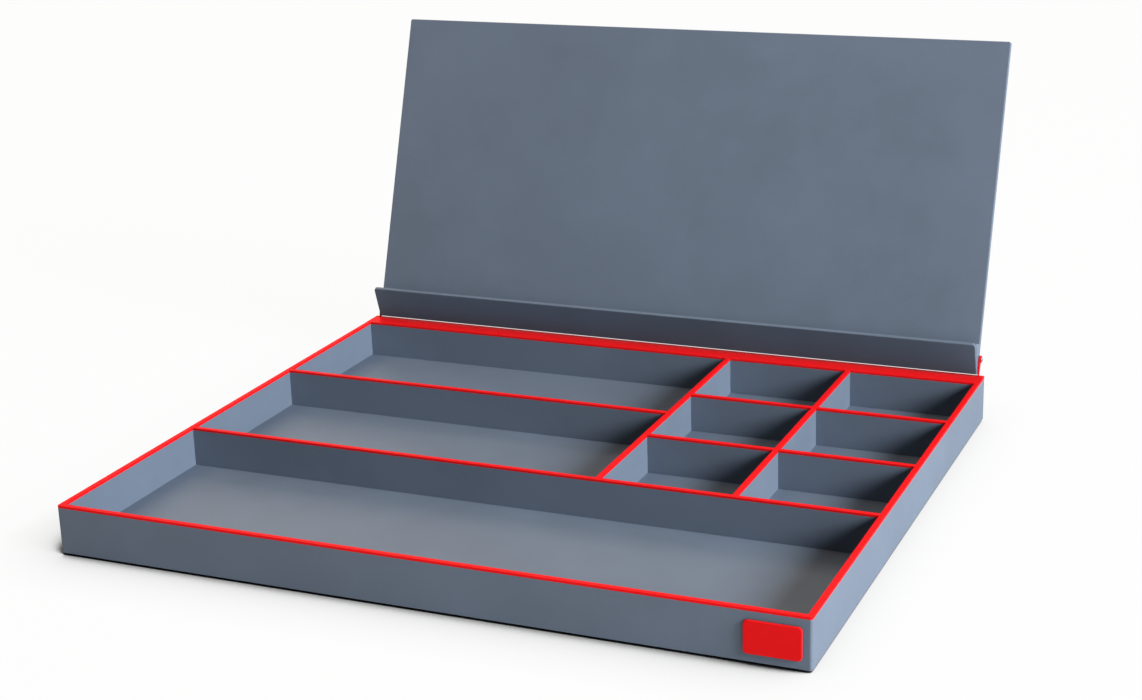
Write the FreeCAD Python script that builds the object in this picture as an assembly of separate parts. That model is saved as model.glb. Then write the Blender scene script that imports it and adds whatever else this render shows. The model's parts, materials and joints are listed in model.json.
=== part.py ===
import FreeCAD, Part
import math
import os

# Sorting tray for small parts, with a tilting booklet stand along its rear edge.
# Grey boards make a shallow box, an egg-crate of dividers splits it into bays and cells, and a red
# strip caps every upright edge. The stand, a panel with a lip, turns on two pins held in red ears.
# Millimetres. +X is to the right, +Y to the back and +Z up. The origin lies on the surface that the
# feet stand on, below the middle of the whole part.

# Tray box
tray_width = 600.0
tray_depth = 520.0
wall_height = 37.0
wall_thick = 4.5
corner_round = 2.0
base_thick = 4.5
base_rise = 1.5
groove_depth = 2.0

# Hinge beam, the thick rear wall that carries the stand
beam_depth = 22.0

# Dividers, with the clear sizes of the bays and cells between them
divider_thick = 4.5
front_bay_depth = 178.2
middle_bay_depth = 155.6
long_bay_width = 364.3
left_cell_width = 107.4
row_names = ("front_row", "rear_row")
housing_depth = 1.5
lap_share = 0.5

# Red edge strips
strip_height = 2.0
strip_round = 0.4

# Feet
foot_clearance = 2.0
foot_radius = 9.0
foot_taper = 1.0
foot_bevel = 0.6
foot_margin = 12.0

# Plain badge plate on the front wall
badge_width = 41.0
badge_height = 24.5
badge_thick = 2.0
badge_corner = 3.0
badge_edge_round = 0.5
badge_side_margin = 6.8
badge_bottom_margin = 6.4

# Booklet stand
panel_length = 292.2
panel_thick = 4.5
panel_lean = 19.6
panel_corner = 2.0
panel_foot_round = 3.5
lip_length = 31.7
lip_thick = 3.6
lip_lean = 18.3
lip_corner = 3.0
stand_edge_round = 0.9
apex_round = 0.4
apex_setback = 4.7
apex_gap = 2.0
gusset_thick = 4.5
gusset_setback = 1.2

# Hinge ears and pins
pivot_rise = 13.6
pin_radius = 1.5
pin_grip = 14.0
pin_head_radius = 2.1
pin_head_height = 0.9
pin_head_bevel = 0.4
boss_radius = 3.2
boss_proud = 0.8
ear_thick = 1.1
ear_side_gap = 0.4
ear_neck_width = 2.6
ear_tail_width = 8.0
ear_tail_depth = 24.0
ear_tail_round = 2.0
ear_rear_setback = 1.2

# Clearances, and the overrun of every cut
fit_gap = 0.05
running_gap = 0.05
overrun = 1.0
same_place = 1e-6

# Heights
wall_bottom = foot_clearance
wall_top = wall_bottom + wall_height
rim = wall_top + strip_height
base_bottom = wall_bottom + base_rise
base_top = base_bottom + base_thick

# Places across the width
half_width = tray_width / 2
inner_half = half_width - wall_thick
side_divider_x = -inner_half + long_bay_width
middle_divider_x = side_divider_x + divider_thick + left_cell_width
ear_inner = inner_half - ear_thick
stand_half = ear_inner - ear_side_gap

# Directions of the stand's boards, as (Y, Z)
panel_up = (math.sin(math.radians(panel_lean)), math.cos(math.radians(panel_lean)))
panel_back = (panel_up[1], -panel_up[0])
trough_angle = math.radians(panel_lean + lip_lean)

# Places from front to back
stand_reach = (
    (panel_length - stand_edge_round) * panel_up[0]
    + (panel_thick - stand_edge_round) * panel_back[0]
    + stand_edge_round
    - apex_setback
)
overall_depth = badge_thick + tray_depth + stand_reach
front_y = badge_thick - overall_depth / 2
back_y = front_y + tray_depth
bay_front = front_y + wall_thick
beam_front = back_y - beam_depth
front_divider_y = bay_front + front_bay_depth
cell_front = front_divider_y + divider_thick
long_divider_y = cell_front + middle_bay_depth
row_count = len(row_names) + 1
cell_depth = (beam_front - cell_front - len(row_names) * divider_thick) / row_count
row_divider_ys = [
    cell_front + cell_depth + row * (cell_depth + divider_thick) for row in range(len(row_names))
]

# The stand's lower front edge, and its pivot in the middle of the panel's thickness
apex_y = back_y - apex_setback
apex_z = rim + apex_gap
pivot_y = apex_y + pivot_rise * panel_up[0] + panel_thick / 2 * panel_back[0]
pivot_z = apex_z + pivot_rise * panel_up[1] + panel_thick / 2 * panel_back[1]


def at(x, y, z):
    return FreeCAD.Vector(x, y, z)


def block(x_span, y_span, z_span):
    """Block between two limits along each axis."""
    sizes = [high - low for low, high in (x_span, y_span, z_span)]
    return Part.makeBox(*sizes, at(x_span[0], y_span[0], z_span[0]))


def rounded_face(corners, to_space):
    """Face whose outline turns every (a, b, radius) corner with a tangent arc."""
    turns = []
    for index, (a, b, radius) in enumerate(corners):
        here = at(a, b, 0)
        before = at(*corners[index - 1][:2], 0)
        after = at(*corners[(index + 1) % len(corners)][:2], 0)
        back = (before - here).normalize()
        onward = (after - here).normalize()
        half_angle = back.getAngle(onward) / 2
        reach = radius / math.tan(half_angle)
        depth = radius / math.sin(half_angle) - radius
        middle = here + (back + onward).normalize() * depth if radius else here
        turns.append([to_space(p.x, p.y) for p in (here + back * reach, middle, here + onward * reach)])
    edges = []
    for index, (start, middle, end) in enumerate(turns):
        if not start.isEqual(end, same_place):
            edges.append(Part.Arc(start, middle, end).toShape())
        following = turns[(index + 1) % len(turns)][0]
        if not end.isEqual(following, same_place):
            edges.append(Part.LineSegment(end, following).toShape())
    return Part.Face(Part.Wire(edges))


def plan_prism(corners, z_span):
    """Prism on a plan outline of (x, y, radius) corners."""
    face = rounded_face(corners, lambda a, b: at(a, b, z_span[0]))
    return face.extrude(at(0, 0, z_span[1] - z_span[0]))


def side_prism(corners, x_span):
    """Prism across the width on a side outline of (y, z, radius) corners."""
    face = rounded_face(corners, lambda a, b: at(x_span[0], a, b))
    return face.extrude(at(x_span[1] - x_span[0], 0, 0))


def front_prism(corners, y_span):
    """Prism from front to back on a front outline of (x, z, radius) corners."""
    face = rounded_face(corners, lambda a, b: at(a, y_span[0], b))
    return face.extrude(at(0, y_span[1] - y_span[0], 0))


def rectangle(a_span, b_span, low_radius=0, high_radius=0):
    """Corners of a rectangle with its lower and its upper pair rounded alike."""
    return [
        (a_span[0], b_span[0], low_radius),
        (a_span[1], b_span[0], low_radius),
        (a_span[1], b_span[1], high_radius),
        (a_span[0], b_span[1], high_radius),
    ]


def widened(span, gap):
    return (span[0] - gap, span[1] + gap)


def sided(side, low, high):
    """Limits along X on the left (-1) or the right (1), measured out from the middle."""
    return tuple(sorted((side * low, side * high)))


def divider_span(start):
    return (start, start + divider_thick)


# Limits that several pieces share
board_z = (wall_bottom, wall_top)
strip_z = (wall_top, rim)
divider_z = (base_top, wall_top)
lap_z = base_top + (wall_top - base_top) * lap_share
groove_z = widened((base_bottom, base_top), fit_gap)
housing_z = (base_top - fit_gap, wall_top + overrun)
tongue = housing_depth - fit_gap
front_divider_span = divider_span(front_divider_y)
long_divider_span = divider_span(long_divider_y)
side_divider_span = divider_span(side_divider_x)
middle_divider_span = divider_span(middle_divider_x)
row_divider_spans = [divider_span(y) for y in row_divider_ys]


def tray_outline(z_span):
    """The whole tray in plan, with its upright corners rounded."""
    plan = rectangle((-half_width, half_width), (front_y, back_y), corner_round, corner_round)
    return plan_prism(plan, z_span)


def front_plan():
    """Front board or strip in plan, mitred at both ends."""
    return [
        (-half_width, front_y, 0),
        (half_width, front_y, 0),
        (inner_half, bay_front, 0),
        (-inner_half, bay_front, 0),
    ]


def side_plan(side, end_y):
    """Side board or strip in plan, mitred at the front and square at the back."""
    return [
        (side * half_width, front_y, 0),
        (side * inner_half, bay_front, 0),
        (side * inner_half, end_y, 0),
        (side * half_width, end_y, 0),
    ]


def base_panel():
    """Floor of the tray, let into grooves on all four sides."""
    edge = groove_depth - fit_gap
    x_span = (-inner_half - edge, inner_half + edge)
    y_span = (bay_front - edge, beam_front + edge)
    return block(x_span, y_span, (base_bottom, base_top))


def front_wall():
    """Front board, mitred at both ends, with the groove for the floor."""
    board = plan_prism(front_plan(), board_z).common(tray_outline(board_z))
    groove = block(
        (-half_width, half_width), (bay_front - groove_depth, bay_front + overrun), groove_z
    )
    return board.cut(groove)


def side_wall(side, divider_spans):
    """Side board with the groove for the floor and a housing for each divider that ends on it."""
    board = plan_prism(side_plan(side, back_y), board_z).common(tray_outline(board_z))
    groove_x = sided(side, inner_half - overrun, inner_half + groove_depth)
    board = board.cut(block(groove_x, (front_y, beam_front + groove_depth), groove_z))
    housing_x = sided(side, inner_half - overrun, inner_half + housing_depth)
    for span in divider_spans:
        board = board.cut(block(housing_x, widened(span, fit_gap), housing_z))
    return board


def hinge_beam():
    """Thick rear wall with the floor's groove, two housings and a seat at each end for an ear."""
    beam = block((-inner_half, inner_half), (beam_front, back_y), board_z)
    groove_y = (beam_front - overrun, beam_front + groove_depth)
    beam = beam.cut(block(widened((-inner_half, inner_half), overrun), groove_y, groove_z))
    housing_y = (beam_front - overrun, beam_front + housing_depth)
    for span in (side_divider_span, middle_divider_span):
        beam = beam.cut(block(widened(span, fit_gap), housing_y, housing_z))
    seat_y = widened(ear_tail_span(), fit_gap)
    seat_z = (wall_top - ear_tail_depth - fit_gap, wall_top + overrun)
    for side in (-1, 1):
        beam = beam.cut(block(sided(side, ear_inner - fit_gap, inner_half + overrun), seat_y, seat_z))
    return beam


def front_bay_divider():
    """Full-width divider behind the front bay, housed for the two cell dividers."""
    board = block((-inner_half - tongue, inner_half + tongue), front_divider_span, divider_z)
    housing_y = (cell_front - housing_depth, cell_front + overrun)
    for span in (side_divider_span, middle_divider_span):
        board = board.cut(block(widened(span, fit_gap), housing_y, housing_z))
    return board


def long_bay_divider():
    """Divider between the two long bays."""
    return block((-inner_half - tongue, side_divider_x + tongue), long_divider_span, divider_z)


def cell_side_divider():
    """Divider between the long bays and the cells, housed on both faces."""
    board = block(side_divider_span, (cell_front - tongue, beam_front + tongue), divider_z)
    left_housing = (side_divider_span[0] - overrun, side_divider_span[0] + housing_depth)
    right_housing = (side_divider_span[1] - housing_depth, side_divider_span[1] + overrun)
    board = board.cut(block(left_housing, widened(long_divider_span, fit_gap), housing_z))
    for span in row_divider_spans:
        board = board.cut(block(right_housing, widened(span, fit_gap), housing_z))
    return board


def cell_middle_divider():
    """Divider between the two columns of cells, slotted from below over the row dividers."""
    board = block(middle_divider_span, (cell_front - tongue, beam_front + tongue), divider_z)
    for span in row_divider_spans:
        slot_z = (base_top - overrun, lap_z + fit_gap)
        board = board.cut(block(widened(middle_divider_span, overrun), widened(span, fit_gap), slot_z))
    return board


def row_divider(span):
    """Divider between two rows of cells, slotted from above for the middle divider."""
    board = block((side_divider_span[1] - tongue, inner_half + tongue), span, divider_z)
    slot_z = (lap_z - fit_gap, wall_top + overrun)
    return board.cut(block(widened(middle_divider_span, fit_gap), widened(span, overrun), slot_z))


def strip_along_x(x_span, y_span):
    """Edge strip across the tray, with its long upper corners rounded."""
    return side_prism(rectangle(y_span, strip_z, 0, strip_round), x_span)


def strip_along_y(x_span, y_span):
    """Edge strip from front to back, with its long upper corners rounded."""
    return front_prism(rectangle(x_span, strip_z, 0, strip_round), y_span)


def front_edge_strip():
    strip = strip_along_x((-half_width, half_width), (front_y, bay_front))
    return strip.common(plan_prism(front_plan(), strip_z)).common(tray_outline(strip_z))


def side_edge_strip(side):
    strip = strip_along_y(sided(side, inner_half, half_width), (front_y, beam_front))
    return strip.common(plan_prism(side_plan(side, beam_front), strip_z)).common(tray_outline(strip_z))


def hinge_rail():
    """Wide strip on the hinge beam, notched from behind for the ears' necks."""
    rail = strip_along_x((-half_width, half_width), (beam_front, back_y)).common(tray_outline(strip_z))
    notch_y = (ear_neck_span()[0] - fit_gap, back_y + overrun)
    for side in (-1, 1):
        notch_x = widened(sided(side, ear_inner, inner_half), fit_gap)
        rail = rail.cut(block(notch_x, notch_y, widened(strip_z, overrun)))
    return rail


def ear_tail_span():
    rear = back_y - ear_rear_setback
    return (rear - ear_tail_width, rear)


def ear_neck_span():
    rear = back_y - ear_rear_setback
    return (rear - ear_neck_width, rear)


def tangent_point(outside, centre, radius, turn):
    """Point where the line from outside touches the circle, on the side given by turn."""
    away = outside - centre
    angle = math.atan2(away.y, away.x) + turn * math.acos(radius / away.Length)
    return centre + at(radius * math.cos(angle), radius * math.sin(angle), 0)


def ear(side):
    """Hinge ear: a tail in the beam's end, a neck through the rail and an eye with a boss."""
    tail_front, rear = ear_tail_span()
    neck_front = ear_neck_span()[0]
    eye = at(pivot_y, pivot_z, 0)
    front_touch = tangent_point(at(neck_front, rim, 0), eye, boss_radius, -1)
    rear_touch = tangent_point(at(rear, rim, 0), eye, boss_radius, 1)
    tail_bottom = wall_top - ear_tail_depth
    outline = [
        (rear, tail_bottom, ear_tail_round),
        (tail_front, tail_bottom, ear_tail_round),
        (tail_front, wall_top, 0),
        (neck_front, wall_top, 0),
        (neck_front, rim, 0),
        (front_touch.x, front_touch.y, 0),
        (rear_touch.x, rear_touch.y, 0),
        (rear, rim, 0),
    ]
    plate = side_prism(outline, sided(side, ear_inner, inner_half))
    start = at(side * ear_inner, pivot_y, pivot_z)
    along = at(side, 0, 0)
    boss = Part.makeCylinder(boss_radius, ear_thick + boss_proud, start, along)
    bore_start = start - along * overrun
    bore_length = ear_thick + boss_proud + overrun * 2
    bore = Part.makeCylinder(pin_radius + running_gap, bore_length, bore_start, along)
    return plate.fuse(boss).removeSplitter().cut(bore)


def foot(x, y):
    """Rubber foot, a little narrower where it meets the table, with a bevelled lower edge."""
    tread = foot_radius - foot_taper
    profile = [
        (0, 0, 0),
        (tread - foot_bevel, 0, 0),
        (tread, foot_bevel, 0),
        (foot_radius, base_bottom, 0),
        (0, base_bottom, 0),
    ]
    face = rounded_face(profile, lambda a, b: at(x + a, y, b))
    return face.revolve(at(x, y, 0), at(0, 0, 1), 360)


def rounded_edges(solid, radius, chosen):
    """Solid with every edge rounded whose middle point passes the test."""
    edges = []
    for edge in solid.Edges:
        if chosen(edge.valueAt((edge.FirstParameter + edge.LastParameter) / 2)):
            edges.append(edge)
    return solid.makeFillet(radius, edges)


def badge_plate():
    """Plain plate on the front wall, its front edge rounded."""
    right = half_width - badge_side_margin
    low = wall_bottom + badge_bottom_margin
    face_y = front_y - badge_thick
    outline = rectangle((right - badge_width, right), (low, low + badge_height), badge_corner, badge_corner)
    plate = front_prism(outline, (face_y, front_y))
    return rounded_edges(plate, badge_edge_round, lambda p: p.y < face_y + same_place)


def stand_board(length, thick, corner):
    """Upright board of the stand, from its foot line up, with rounded corners and edges."""
    outline = rectangle((-stand_half, stand_half), (-overrun, length), 0, corner)
    board = front_prism(outline, (0, thick))

    def on_rim(p):
        on_face = p.y < same_place or p.y > thick - same_place
        return on_face and p.z > -overrun + same_place

    return rounded_edges(board, stand_edge_round, on_rim)


def leaned(shape, lean):
    """Upright stand piece, leaned back by an angle and set on the apex."""
    shape.rotate(at(0, 0, 0), at(1, 0, 0), -lean)
    shape.translate(at(0, apex_y, apex_z))
    return shape


def stand_panel():
    """Back rest of the stand, rounded under its foot, with a blind hole for a pin at each end."""
    side_view = [
        (0, 0, apex_round),
        (panel_thick, 0, panel_foot_round),
        (panel_thick, panel_length, 0),
        (0, panel_length, 0),
    ]
    board = stand_board(panel_length, panel_thick, panel_corner)
    board = board.common(side_prism(side_view, (-stand_half, stand_half)))
    for side in (-1, 1):
        start = at(side * (stand_half - pin_grip - fit_gap), panel_thick / 2, pivot_rise)
        hole = Part.makeCylinder(pin_radius + fit_gap, pin_grip + overrun, start, at(side, 0, 0))
        board = board.cut(hole)
    return leaned(board, panel_lean)


def stand_lip():
    """Lip that a booklet rests in, its foot bevelled to seat on the panel."""
    bevel = lip_thick / math.tan(trough_angle)
    side_view = [(0, 0, 0), (0, lip_length, 0), (lip_thick, lip_length, 0), (lip_thick, bevel, 0)]
    board = stand_board(lip_length, lip_thick, lip_corner)
    board = board.common(side_prism(side_view, (-stand_half, stand_half)))
    return leaned(board, -lip_lean)


def gusset(side):
    """Triangle that closes one end of the trough, its top square to the panel."""
    seat = lip_thick / math.sin(trough_angle)
    reach = lip_length - gusset_setback
    top = reach * math.cos(trough_angle) + lip_thick * math.sin(trough_angle)
    width = reach * math.sin(trough_angle) - lip_thick * math.cos(trough_angle)
    side_view = [(0, seat, 0), (0, top, 0), (-width, top, 0)]
    plate = side_prism(side_view, sided(side, stand_half - gusset_thick, stand_half))
    return leaned(plate, panel_lean)


def pivot_pin(side):
    """Steel pin fixed in the panel's end and turning in the ear, with a low head outside the boss."""
    shank = pin_grip + ear_side_gap + ear_thick + boss_proud + running_gap
    length = shank + pin_head_height
    profile = [
        (0, 0, 0),
        (pin_radius, 0, 0),
        (pin_radius, shank, 0),
        (pin_head_radius, shank, 0),
        (pin_head_radius, length - pin_head_bevel, 0),
        (pin_head_radius - pin_head_bevel, length, 0),
        (0, length, 0),
    ]
    start = side * (stand_half - pin_grip)
    face = rounded_face(profile, lambda a, b: at(start + side * b, pivot_y + a, pivot_z))
    return face.revolve(at(0, pivot_y, pivot_z), at(1, 0, 0), 360)


def feet():
    """A foot under the floor near each corner of the tray."""
    reach = foot_margin + foot_radius
    for depth, y in (("front", bay_front + reach), ("rear", beam_front - reach)):
        for hand, side in (("left", -1), ("right", 1)):
            yield depth + "_" + hand + "_foot", foot(side * (inner_half - reach), y)


pieces = {
    "base_panel": base_panel(),
    "front_wall": front_wall(),
    "left_wall": side_wall(-1, [front_divider_span, long_divider_span]),
    "right_wall": side_wall(1, [front_divider_span] + row_divider_spans),
    "hinge_beam": hinge_beam(),
    "front_bay_divider": front_bay_divider(),
    "long_bay_divider": long_bay_divider(),
    "cell_side_divider": cell_side_divider(),
    "cell_middle_divider": cell_middle_divider(),
    "front_edge_strip": front_edge_strip(),
    "hinge_rail": hinge_rail(),
    "front_bay_strip": strip_along_x((-inner_half, inner_half), front_divider_span),
    "long_bay_strip": strip_along_x((-inner_half, side_divider_x), long_divider_span),
    "cell_side_strip": strip_along_y(side_divider_span, (cell_front, beam_front)),
    "cell_middle_strip": strip_along_y(middle_divider_span, (cell_front, beam_front)),
    "badge_plate": badge_plate(),
    "stand_panel": stand_panel(),
    "stand_lip": stand_lip(),
}
for name, span in zip(row_names, row_divider_spans):
    pieces[name + "_divider"] = row_divider(span)
    pieces[name + "_left_strip"] = strip_along_x((side_divider_span[1], middle_divider_x), span)
    pieces[name + "_right_strip"] = strip_along_x((middle_divider_span[1], inner_half), span)
for hand, side in (("left", -1), ("right", 1)):
    pieces[hand + "_edge_strip"] = side_edge_strip(side)
    pieces[hand + "_ear"] = ear(side)
    pieces[hand + "_gusset"] = gusset(side)
    pieces[hand + "_pivot_pin"] = pivot_pin(side)
pieces.update(feet())

os.makedirs("parts", exist_ok=True)
for name, shape in pieces.items():
    shape.exportStep("parts/" + name + ".step")
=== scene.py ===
from collections import namedtuple
import json
import math

import bpy
from mathutils import Matrix, Vector

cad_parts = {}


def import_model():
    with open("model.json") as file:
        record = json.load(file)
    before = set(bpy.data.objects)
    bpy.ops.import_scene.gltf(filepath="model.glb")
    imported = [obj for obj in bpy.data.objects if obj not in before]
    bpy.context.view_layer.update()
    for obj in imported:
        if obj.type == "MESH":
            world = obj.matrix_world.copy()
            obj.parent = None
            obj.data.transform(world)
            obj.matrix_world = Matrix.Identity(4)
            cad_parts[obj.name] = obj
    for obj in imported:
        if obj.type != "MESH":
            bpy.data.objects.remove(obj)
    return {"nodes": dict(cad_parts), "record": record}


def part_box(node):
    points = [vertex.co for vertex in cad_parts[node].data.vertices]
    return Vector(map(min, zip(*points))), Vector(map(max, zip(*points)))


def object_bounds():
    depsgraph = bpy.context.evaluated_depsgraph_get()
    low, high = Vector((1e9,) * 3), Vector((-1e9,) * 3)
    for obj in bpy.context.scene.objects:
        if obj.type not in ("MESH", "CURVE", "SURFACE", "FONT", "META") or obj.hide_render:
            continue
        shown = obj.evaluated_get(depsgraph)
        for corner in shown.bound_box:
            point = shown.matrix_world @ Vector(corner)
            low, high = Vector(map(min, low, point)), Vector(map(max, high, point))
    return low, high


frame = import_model()
cad_low, cad_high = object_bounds()

# Camera, measured from the tray's lower front left corner
image_width = 1142
focal_pixels = 2078.05
sensor_width = 36.0
camera_offset = Vector((0.95502, -1.19850, 0.62952))
camera_azimuth = math.radians(23.55)
camera_elevation = math.radians(17.91)
camera_roll = math.radians(-1.78)

# Soft boxes round the tray: a low cool key on the right, a weak neutral fill in front, and warm fills
# behind and on the left. Angles are in degrees, lengths in metres and powers in watts.
SoftBox = namedtuple("SoftBox", "name azimuth elevation distance width power colour")
cool = (0.88, 0.945, 1.0)
neutral = (0.97, 0.98, 1.0)
warm = (1.0, 0.86, 0.70)
soft_boxes = (
    SoftBox("key", azimuth=79.0, elevation=26.0, distance=5.0, width=2.0, power=392.0, colour=cool),
    SoftBox("front_fill", azimuth=50.0, elevation=14.0, distance=1.8, width=0.72, power=4.8, colour=neutral),
    SoftBox("rear_fill", azimuth=210.0, elevation=40.0, distance=5.0, width=3.4, power=101.0, colour=warm),
    SoftBox("left_fill", azimuth=270.0, elevation=60.0, distance=5.0, width=3.4, power=73.0, colour=warm),
)
light_target = Vector((0.0, -0.05, 0.0))
ambient_colour = (1.0, 0.95, 0.9, 1.0)
ambient_strength = 0.005

# Floor: its bounce, the share of real light that it shows, and the shade for each share of open sky beside
# the object. The sky leans towards the key, so the shade is weaker on that side.
floor_radius = 30.0
floor_albedo = 0.7
floor_lit_share = 0.05
contact_reach = 0.070
contact_lean = (0.6, 0.0, 0.0)
contact_samples = 32
contact_shades = (
    (0.46, 0.0),
    (0.54, 0.12),
    (0.58, 0.50),
    (0.64, 0.80),
    (0.75, 0.90),
    (0.88, 0.965),
    (1.0, 1.0),
)

# Painted finishes. Two tones drift into each other, and drift gives the sizes of the patches, in metres,
# with their weights. The edge tone is lighter along edges, partly as scuffed paint and partly as a painted
# highlight. Bleed is the share of its light that the paint throws on its neighbours.
Finish = namedtuple(
    "Finish", "dark light edge drift roughness grain relief edge_width wear specular coat bleed"
)
board_finish = Finish(
    dark=(0.145, 0.174, 0.222, 1.0),
    light=(0.175, 0.212, 0.274, 1.0),
    # Edge tone: scuffed paint and a painted highlight along the edges
    edge=(0.23, 0.28, 0.34, 1.0),
    drift=((0.16, 0.55), (0.035, 0.30), (0.0014, 0.15)),
    roughness=(0.44, 0.56),
    grain=0.0009,
    relief=0.00004,
    edge_width=0.0008,
    wear=0.5,
    specular=0.08,
    coat=0.0,
    bleed=1.0,
)
strip_finish = Finish(
    dark=(0.93, 0.009, 0.011, 1.0),
    light=(0.98, 0.012, 0.015, 1.0),
    # Edge tone: scuffed paint and a painted highlight along the edges
    edge=(0.98, 0.030, 0.030, 1.0),
    drift=((0.06, 0.5), (0.008, 0.3), (0.0009, 0.2)),
    roughness=(0.36, 0.48),
    grain=0.0007,
    relief=0.00003,
    edge_width=0.0006,
    wear=0.6,
    specular=0.015,
    coat=0.0,
    bleed=0.1,
)
ear_finish = strip_finish._replace(grain=0.0004, relief=0.00002, edge_width=0.0004, wear=0.7, coat=0.05)
badge_finish = strip_finish._replace(grain=0.0006, relief=0.00002, edge_width=0.0005, coat=0.03)
coat_roughness = 0.3

# Bare finishes of the small pieces
steel_colour = (0.27, 0.38, 0.44, 1.0)
steel_roughness = (0.40, 0.55)
steel_grain = 0.0004
steel_relief = 0.00002
rubber_dark = (0.012, 0.012, 0.013, 1.0)
rubber_light = (0.028, 0.028, 0.030, 1.0)
rubber_roughness = (0.70, 0.90)
rubber_grain = 0.0007
rubber_relief = 0.00005

# Shares that all noises and edges use
noise_low = 0.3
noise_high = 0.7
noise_detail = 3.0
noise_roughness = 0.55
bump_strength = 0.6
bevel_samples = 6
soft_edge_share = 0.5
# Turn of the normal at which the edge tone, scuffed paint and painted highlight, is at full strength
full_wear_and_sheen_turn = 0.25

# Places of the colour sockets on a Mix node, which has several sockets of each name
mix_factor, mix_first, mix_second = 0, 6, 7
mix_result = 2


def grey(level):
    """Neutral colour of a level from 0, black, to 1, white."""
    return (level, level, level, 1.0)


def put(tree, socket, value):
    """Sets an input to a value, or links it to an output."""
    if isinstance(value, bpy.types.NodeSocket):
        tree.links.new(value, socket)
    else:
        socket.default_value = value


def node(tree, kind, settings=None, **inputs):
    """Shader node with its settings, and its inputs set to values or linked to outputs."""
    made = tree.nodes.new("ShaderNode" + kind)
    for name, value in (settings or {}).items():
        setattr(made, name, value)
    for name, value in inputs.items():
        put(tree, made.inputs[name.replace("_", " ")], value)
    return made


def mixed_colour(tree, factor, first, second):
    """Colour that goes from first to second with a factor."""
    made = node(tree, "Mix", {"data_type": "RGBA"})
    for index, value in ((mix_factor, factor), (mix_first, first), (mix_second, second)):
        put(tree, made.inputs[index], value)
    return made.outputs[mix_result]


def mixed_shader(tree, factor, first, second):
    """Shader that goes from first to second with a factor."""
    made = node(tree, "MixShader", Fac=factor)
    tree.links.new(first.outputs[0], made.inputs[1])
    tree.links.new(second.outputs[0], made.inputs[2])
    return made


def maths(tree, operation, *values):
    """Result of one operation on values or outputs."""
    made = node(tree, "Math", {"operation": operation})
    for socket, value in zip(made.inputs, values):
        put(tree, socket, value)
    return made.outputs[0]


def noise(tree, place, size):
    """Noise whose patches have a size in metres."""
    made = node(
        tree, "TexNoise", Vector=place, Scale=1.0 / size, Detail=noise_detail, Roughness=noise_roughness
    )
    return made.outputs["Fac"]


def layered_noise(tree, place, layers):
    """Weighted sum of noises, each of a patch size in metres."""
    total = 0.0
    for size, weight in layers:
        total = maths(tree, "MULTIPLY_ADD", noise(tree, place, size), weight, total)
    return total


def spread(tree, value, low, high):
    """Value from the middle of a noise's range, spread over low to high."""
    made = node(
        tree, "MapRange", Value=value, From_Min=noise_low, From_Max=noise_high, To_Min=low, To_Max=high
    )
    return made.outputs["Result"]


def edge_wear_and_sheen(tree, width, strength):
    """Share of the edge tone, high along sharp edges: partly scuffed paint, partly a painted highlight."""
    bevel = node(tree, "Bevel", {"samples": bevel_samples}, Radius=width)
    flat = node(tree, "NewGeometry")
    agree = node(tree, "VectorMath", {"operation": "DOT_PRODUCT"})
    tree.links.new(bevel.outputs["Normal"], agree.inputs[0])
    tree.links.new(flat.outputs["True Normal"], agree.inputs[1])
    turned = maths(tree, "SUBTRACT", 1.0, agree.outputs["Value"])
    wear_and_sheen_share = node(tree, "MapRange", Value=turned, From_Max=full_wear_and_sheen_turn, To_Max=strength)
    return wear_and_sheen_share.outputs["Result"]


def empty_tree(owner):
    """Cleared node tree of a material or a world."""
    owner.use_nodes = True
    owner.node_tree.nodes.clear()
    return owner.node_tree


def new_material(name):
    """Material with one Principled shader, and its node tree, shader and place on the object."""
    material = bpy.data.materials.new(name)
    tree = empty_tree(material)
    shader = node(tree, "BsdfPrincipled")
    node(tree, "OutputMaterial", Surface=shader.outputs["BSDF"])
    place = node(tree, "TexCoord").outputs["Object"]
    return material, tree, shader, place


def raised(tree, shader, height, relief, normal=None):
    """Gives a shader a fine relief."""
    bump = node(tree, "Bump", Height=height, Distance=relief, Strength=bump_strength)
    if normal:
        tree.links.new(normal, bump.inputs["Normal"])
    tree.links.new(bump.outputs["Normal"], shader.inputs["Normal"])


def painted(name, finish):
    """Painted board or strip: drifting tones, a fine grain, and edges lighter as scuffed paint and as a
    painted highlight.
    """
    material, tree, shader, place = new_material(name)
    drift = layered_noise(tree, place, finish.drift)
    tone = mixed_colour(tree, spread(tree, drift, 0.0, 1.0), finish.dark, finish.light)
    # Lighter edges: partly scuffed paint, partly a painted highlight
    rubbed_and_sheen = edge_wear_and_sheen(tree, finish.edge_width, finish.wear)
    colour = mixed_colour(tree, rubbed_and_sheen, tone, finish.edge)
    if finish.bleed < 1.0:
        dull = [channel * finish.bleed for channel in finish.dark[:3]] + [1.0]
        colour = mixed_colour(tree, node(tree, "LightPath").outputs["Is Diffuse Ray"], colour, dull)
    tree.links.new(colour, shader.inputs["Base Color"])
    fine = noise(tree, place, finish.grain)
    tree.links.new(spread(tree, fine, *finish.roughness), shader.inputs["Roughness"])
    soft_edge = node(tree, "Bevel", {"samples": bevel_samples}, Radius=finish.edge_width * soft_edge_share)
    raised(tree, shader, fine, finish.relief, soft_edge.outputs["Normal"])
    shader.inputs["Specular IOR Level"].default_value = finish.specular
    shader.inputs["Coat Weight"].default_value = finish.coat
    shader.inputs["Coat Roughness"].default_value = coat_roughness
    return material


def dull_steel():
    """Steel of the pins, lightly brushed."""
    material, tree, shader, place = new_material("pin_steel")
    shader.inputs["Base Color"].default_value = steel_colour
    shader.inputs["Metallic"].default_value = 1.0
    fine = noise(tree, place, steel_grain)
    tree.links.new(spread(tree, fine, *steel_roughness), shader.inputs["Roughness"])
    raised(tree, shader, fine, steel_relief)
    return material


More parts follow.
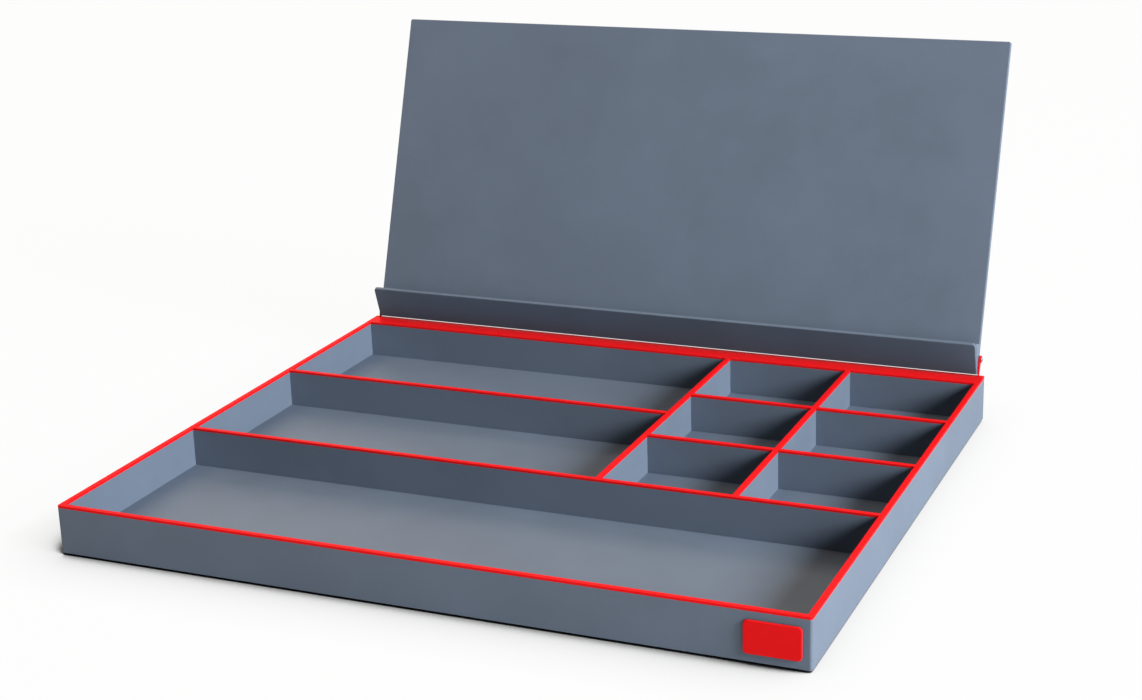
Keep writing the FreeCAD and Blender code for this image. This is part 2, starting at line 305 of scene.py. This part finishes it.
def foot_rubber():
    """Dark rubber with a mottled, matt skin."""
    material, tree, shader, place = new_material("foot_rubber")
    fine = noise(tree, place, rubber_grain)
    tone = mixed_colour(tree, spread(tree, fine, 0.0, 1.0), rubber_dark, rubber_light)
    tree.links.new(tone, shader.inputs["Base Color"])
    tree.links.new(spread(tree, fine, *rubber_roughness), shader.inputs["Roughness"])
    raised(tree, shader, fine, rubber_relief)
    return material


def dress_nodes():
    """Every CAD node gets the material of its slot."""
    made = {
        "board_grey": painted("board_grey", board_finish),
        "strip_red": painted("strip_red", strip_finish),
        "ear_red": painted("ear_red", ear_finish),
        "badge_red": painted("badge_red", badge_finish),
        "pin_steel": dull_steel(),
        "foot_rubber": foot_rubber(),
    }
    for subpart in frame["record"]["subparts"]:
        mesh = frame["nodes"][subpart["node"]].data
        mesh.materials.clear()
        mesh.materials.append(made[subpart["material_slot"]])


def seen_ray(tree):
    """One for rays that show the floor or the world as a background, and zero for light on the object."""
    path = node(tree, "LightPath").outputs
    shown = maths(tree, "MAXIMUM", path["Is Camera Ray"], path["Is Glossy Ray"])
    return maths(tree, "MAXIMUM", shown, path["Is Transmission Ray"])


def contact_shade(tree):
    """Painted shadow: white in the open, grey beside the object and black under it."""
    sky = node(tree, "VectorMath", {"operation": "ADD"})
    tree.links.new(node(tree, "NewGeometry").outputs["Normal"], sky.inputs[0])
    sky.inputs[1].default_value = contact_lean
    near = node(tree, "AmbientOcclusion", {"samples": contact_samples}, Distance=contact_reach)
    tree.links.new(sky.outputs["Vector"], near.inputs["Normal"])
    ramp = node(tree, "ValToRGB", Fac=near.outputs["AO"])
    stops = ramp.color_ramp.elements
    while len(stops) < len(contact_shades):
        stops.new(1.0)
    for stop, (share, shade) in zip(stops, contact_shades):
        stop.position = share
        stop.color = grey(shade)
    return ramp.outputs["Color"]


def floor():
    """White floor with a light painted shadow beside the object and a dark one where it stands, over a faint
    real shadow.
    """
    material = bpy.data.materials.new("floor_white")
    tree = empty_tree(material)
    bounce = node(tree, "BsdfDiffuse", Color=grey(floor_albedo))
    # The white emission carries the painted shadow of the contact shade
    white = node(tree, "Emission", Color=contact_shade(tree), Strength=1.0)
    shown = mixed_shader(tree, floor_lit_share, white, bounce)
    surface = mixed_shader(tree, seen_ray(tree), bounce, shown)
    node(tree, "OutputMaterial", Surface=surface.outputs["Shader"])
    centre = (0.0, 0.0, cad_low.z)
    bpy.ops.mesh.primitive_circle_add(radius=floor_radius, fill_type="NGON", location=centre)
    made = bpy.context.object
    made.name = "floor"
    made.data.materials.append(material)


def world():
    """White behind the object, and a weak even light on it."""
    made = bpy.data.worlds.new("studio")
    tree = empty_tree(made)
    light = node(tree, "Background", Color=ambient_colour, Strength=ambient_strength)
    white = node(tree, "Background", Color=grey(1.0), Strength=1.0)
    surface = mixed_shader(tree, seen_ray(tree), light, white)
    node(tree, "OutputWorld", Surface=surface.outputs["Shader"])
    bpy.context.scene.world = made


def away(azimuth, elevation):
    """Direction from the object at an azimuth, from the front round to the right, and an elevation."""
    level = math.cos(elevation)
    return Vector((math.sin(azimuth) * level, -math.cos(azimuth) * level, math.sin(elevation)))


def lights():
    """Round soft boxes that face the object, and that no view shows."""
    for box in soft_boxes:
        light = bpy.data.lights.new(box.name, "AREA")
        light.shape = "DISK"
        light.size = box.width
        light.energy = box.power
        light.color = box.colour
        made = bpy.data.objects.new(box.name, light)
        direction = away(math.radians(box.azimuth), math.radians(box.elevation))
        made.location = light_target + direction * box.distance
        made.rotation_mode = "QUATERNION"
        made.rotation_quaternion = direction.to_track_quat("Z", "Y")
        made.visible_camera = False
        bpy.context.scene.collection.objects.link(made)


def camera():
    """Camera at the photograph's place, turned and rolled as it was."""
    data = bpy.data.cameras.new("camera")
    data.sensor_fit = "HORIZONTAL"
    data.sensor_width = sensor_width
    data.lens = sensor_width * focal_pixels / image_width
    made = bpy.data.objects.new("camera", data)
    back = away(camera_azimuth, camera_elevation)
    right = Vector((math.cos(camera_azimuth), math.sin(camera_azimuth), 0.0))
    upright = Matrix((right, back.cross(right), back)).transposed()
    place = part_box("front_wall")[0] + camera_offset
    turned = upright @ Matrix.Rotation(camera_roll, 3, "Z")
    made.matrix_world = Matrix.Translation(place) @ turned.to_4x4()
    bpy.context.scene.collection.objects.link(made)
    bpy.context.scene.camera = made


dress_nodes()
floor()
world()
lights()
camera()
bpy.context.scene.view_settings.view_transform = "Standard"
